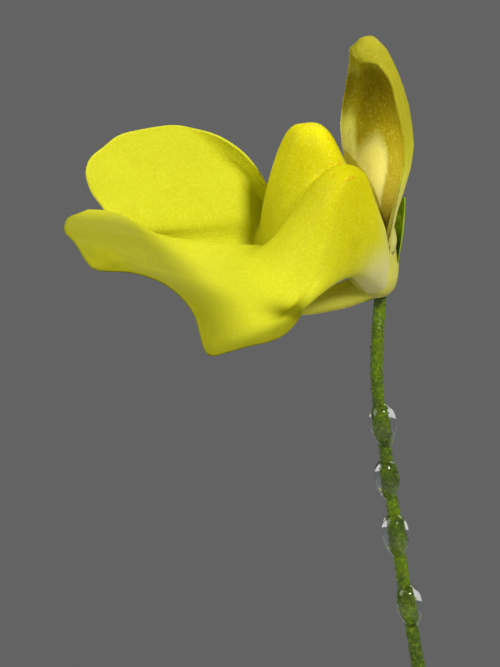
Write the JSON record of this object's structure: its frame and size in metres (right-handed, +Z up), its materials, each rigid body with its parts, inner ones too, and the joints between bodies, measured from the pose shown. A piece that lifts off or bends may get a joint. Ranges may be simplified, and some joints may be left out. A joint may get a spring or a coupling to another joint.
{
  "type": "potted bladderwort in flower",
  "caption": "Small terrestrial bladderwort with yellow two-lipped flowers on thin upright stems, rising from leafy runners on the soil of a plain square nursery pot.",
  "frame": {"origin": "middle of the pot's foot, on the surface that the pot stands on", "axes": "+Z up along the pot and the stems, -Y towards the viewer who sees the pictured flower from its left side, X along the pot's width"},
  "size_m": [0.056, 0.056, 0.1131],
  "materials": {
    "pot_plastic": "satin",
    "soil": "matte",
    "leaf": "satin",
    "stem": "satin",
    "corolla": "satin"
  },
  "bodies": {
    "root": {"pot": "pot_plastic", "soil": "soil", "runner_1": "leaf", "runner_2": "leaf", "runner_3": "leaf", "runner_4": "leaf", "scape_1": "stem", "scape_2": "stem", "scape_3": "stem", "scape_4": "stem", "scape_5": "stem", "scape_6": "stem", "corolla_1": "corolla", "corolla_2": "corolla", "corolla_3": "corolla", "corolla_4": "corolla", "corolla_5": "corolla"}
  },
  "joints": []
}
